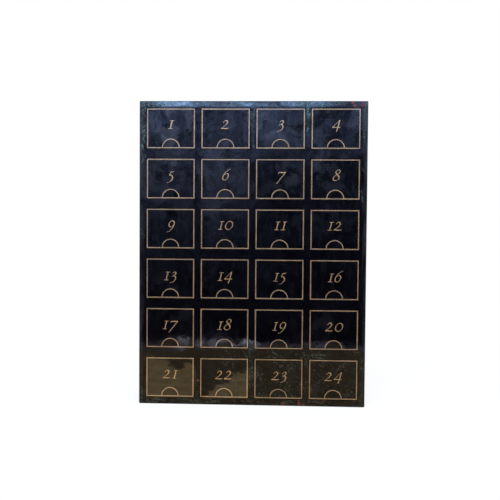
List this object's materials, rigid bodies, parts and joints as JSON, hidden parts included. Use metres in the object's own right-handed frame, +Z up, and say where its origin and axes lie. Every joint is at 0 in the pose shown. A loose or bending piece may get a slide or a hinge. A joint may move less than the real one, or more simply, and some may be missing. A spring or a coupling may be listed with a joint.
{
  "type": "wooden advent calendar",
  "caption": "Free-standing wooden advent calendar: an upright navy case whose numbered, gold-lined drawers each slide out by a half-moon finger hole.",
  "frame": {"origin": "middle of the base, on the surface that the case stands on", "axes": "+Z up, +X to the right as seen from the front, the numbered face looks along -Y"},
  "size_m": [0.3, 0.09, 0.402],
  "materials": {
    "navy_lacquer": "gloss lacquer",
    "printed_navy": "glossy printed veneer",
    "drawer_navy": "glossy printed veneer",
    "bare_board": "unfinished fibreboard",
    "tray_plywood": "sanded plywood",
    "hardboard": "smooth hardboard",
    "gold_foil": "satin gold foil",
    "evergreen_ink": "glossy print",
    "berry_ink": "glossy print",
    "pin_steel": "bright steel"
  },
  "bodies": {
    "case": {"left_side": "navy_lacquer", "right_side": "navy_lacquer", "top_board": "navy_lacquer", "bottom_board": "navy_lacquer", "back_panel": "hardboard", "printed_face": "printed_navy", "upright_1": "bare_board", "upright_2": "bare_board", "upright_3": "bare_board", "shelves": "bare_board", "panel_pins": "pin_steel", "corner_brads": "pin_steel"},
    "drawer_01": {"drawer_01_front": "drawer_navy", "drawer_01_tray": "tray_plywood"},
    "drawer_02": {"drawer_02_front": "drawer_navy", "drawer_02_tray": "tray_plywood"},
    "drawer_03": {"drawer_03_front": "drawer_navy", "drawer_03_tray": "tray_plywood"},
    "drawer_04": {"drawer_04_front": "drawer_navy", "drawer_04_tray": "tray_plywood"},
    "drawer_05": {"drawer_05_front": "drawer_navy", "drawer_05_tray": "tray_plywood"},
    "drawer_06": {"drawer_06_front": "drawer_navy", "drawer_06_tray": "tray_plywood"},
    "drawer_07": {"drawer_07_front": "drawer_navy", "drawer_07_tray": "tray_plywood"},
    "drawer_08": {"drawer_08_front": "drawer_navy", "drawer_08_tray": "tray_plywood"},
    "drawer_09": {"drawer_09_front": "drawer_navy", "drawer_09_tray": "tray_plywood"},
    "drawer_10": {"drawer_10_front": "drawer_navy", "drawer_10_tray": "tray_plywood"},
    "drawer_11": {"drawer_11_front": "drawer_navy", "drawer_11_tray": "tray_plywood"},
    "drawer_12": {"drawer_12_front": "drawer_navy", "drawer_12_tray": "tray_plywood"},
    "drawer_13": {"drawer_13_front": "drawer_navy", "drawer_13_tray": "tray_plywood"},
    "drawer_14": {"drawer_14_front": "drawer_navy", "drawer_14_tray": "tray_plywood"},
    "drawer_15": {"drawer_15_front": "drawer_navy", "drawer_15_tray": "tray_plywood"},
    "drawer_16": {"drawer_16_front": "drawer_navy", "drawer_16_tray": "tray_plywood"},
    "drawer_17": {"drawer_17_front": "drawer_navy", "drawer_17_tray": "tray_plywood"},
    "drawer_18": {"drawer_18_front": "drawer_navy", "drawer_18_tray": "tray_plywood"},
    "drawer_19": {"drawer_19_front": "drawer_navy", "drawer_19_tray": "tray_plywood"},
    "drawer_20": {"drawer_20_front": "drawer_navy", "drawer_20_tray": "tray_plywood"},
    "drawer_21": {"drawer_21_front": "drawer_navy", "drawer_21_tray": "tray_plywood"},
    "drawer_22": {"drawer_22_front": "drawer_navy", "drawer_22_tray": "tray_plywood"},
    "drawer_23": {"drawer_23_front": "drawer_navy", "drawer_23_tray": "tray_plywood"},
    "drawer_24": {"drawer_24_front": "drawer_navy", "drawer_24_tray": "tray_plywood"}
  },
  "joints": [
    {"name": "drawer_01_slide", "type": "slide", "parent": "case", "child": "drawer_01", "axis": [0, -1, 0], "range_m": [0, 0.07]},
    {"name": "drawer_02_slide", "type": "slide", "parent": "case", "child": "drawer_02", "axis": [0, -1, 0], "range_m": [0, 0.07]},
    {"name": "drawer_03_slide", "type": "slide", "parent": "case", "child": "drawer_03", "axis": [0, -1, 0], "range_m": [0, 0.07]},
    {"name": "drawer_04_slide", "type": "slide", "parent": "case", "child": "drawer_04", "axis": [0, -1, 0], "range_m": [0, 0.07]},
    {"name": "drawer_05_slide", "type": "slide", "parent": "case", "child": "drawer_05", "axis": [0, -1, 0], "range_m": [0, 0.07]},
    {"name": "drawer_06_slide", "type": "slide", "parent": "case", "child": "drawer_06", "axis": [0, -1, 0], "range_m": [0, 0.07]},
    {"name": "drawer_07_slide", "type": "slide", "parent": "case", "child": "drawer_07", "axis": [0, -1, 0], "range_m": [0, 0.07]},
    {"name": "drawer_08_slide", "type": "slide", "parent": "case", "child": "drawer_08", "axis": [0, -1, 0], "range_m": [0, 0.07]},
    {"name": "drawer_09_slide", "type": "slide", "parent": "case", "child": "drawer_09", "axis": [0, -1, 0], "range_m": [0, 0.07]},
    {"name": "drawer_10_slide", "type": "slide", "parent": "case", "child": "drawer_10", "axis": [0, -1, 0], "range_m": [0, 0.07]},
    {"name": "drawer_11_slide", "type": "slide", "parent": "case", "child": "drawer_11", "axis": [0, -1, 0], "range_m": [0, 0.07]},
    {"name": "drawer_12_slide", "type": "slide", "parent": "case", "child": "drawer_12", "axis": [0, -1, 0], "range_m": [0, 0.07]},
    {"name": "drawer_13_slide", "type": "slide", "parent": "case", "child": "drawer_13", "axis": [0, -1, 0], "range_m": [0, 0.07]},
    {"name": "drawer_14_slide", "type": "slide", "parent": "case", "child": "drawer_14", "axis": [0, -1, 0], "range_m": [0, 0.07]},
    {"name": "drawer_15_slide", "type": "slide", "parent": "case", "child": "drawer_15", "axis": [0, -1, 0], "range_m": [0, 0.07]},
    {"name": "drawer_16_slide", "type": "slide", "parent": "case", "child": "drawer_16", "axis": [0, -1, 0], "range_m": [0, 0.07]},
    {"name": "drawer_17_slide", "type": "slide", "parent": "case", "child": "drawer_17", "axis": [0, -1, 0], "range_m": [0, 0.07]},
    {"name": "drawer_18_slide", "type": "slide", "parent": "case", "child": "drawer_18", "axis": [0, -1, 0], "range_m": [0, 0.07]},
    {"name": "drawer_19_slide", "type": "slide", "parent": "case", "child": "drawer_19", "axis": [0, -1, 0], "range_m": [0, 0.07]},
    {"name": "drawer_20_slide", "type": "slide", "parent": "case", "child": "drawer_20", "axis": [0, -1, 0], "range_m": [0, 0.07]},
    {"name": "drawer_21_slide", "type": "slide", "parent": "case", "child": "drawer_21", "axis": [0, -1, 0], "range_m": [0, 0.07]},
    {"name": "drawer_22_slide", "type": "slide", "parent": "case", "child": "drawer_22", "axis": [0, -1, 0], "range_m": [0, 0.07]},
    {"name": "drawer_23_slide", "type": "slide", "parent": "case", "child": "drawer_23", "axis": [0, -1, 0], "range_m": [0, 0.07]},
    {"name": "drawer_24_slide", "type": "slide", "parent": "case", "child": "drawer_24", "axis": [0, -1, 0], "range_m": [0, 0.07]}
  ]
}
